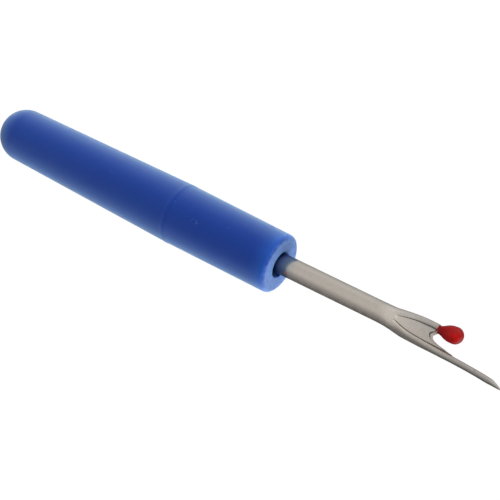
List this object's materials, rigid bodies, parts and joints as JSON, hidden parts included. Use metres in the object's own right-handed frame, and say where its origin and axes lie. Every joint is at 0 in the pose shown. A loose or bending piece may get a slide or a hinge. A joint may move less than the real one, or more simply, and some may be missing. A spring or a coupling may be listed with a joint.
{
  "type": "seam ripper",
  "caption": "Sewing seam ripper: round-ended blue barrel handle, bare steel shank with a forked head, long pointed tine, short tine with a red safety bead.",
  "frame": {"origin": "on the handle's axis, halfway along the tool; the handle's flat front face is 8.9 mm further on, towards the points", "axes": "+X along the handle axis towards the blade's points, +Z square to the flat of the fork, +Y towards the beaded short tine"},
  "size_m": [0.1056, 0.011, 0.011],
  "materials": {
    "blue_plastic": "satin moulded polyethylene",
    "nickel_steel": "satin nickel plate",
    "red_plastic": "glossy, slightly translucent"
  },
  "bodies": {
    "root": {"handle": "blue_plastic", "blade": "nickel_steel", "bead": "red_plastic"}
  },
  "joints": []
}
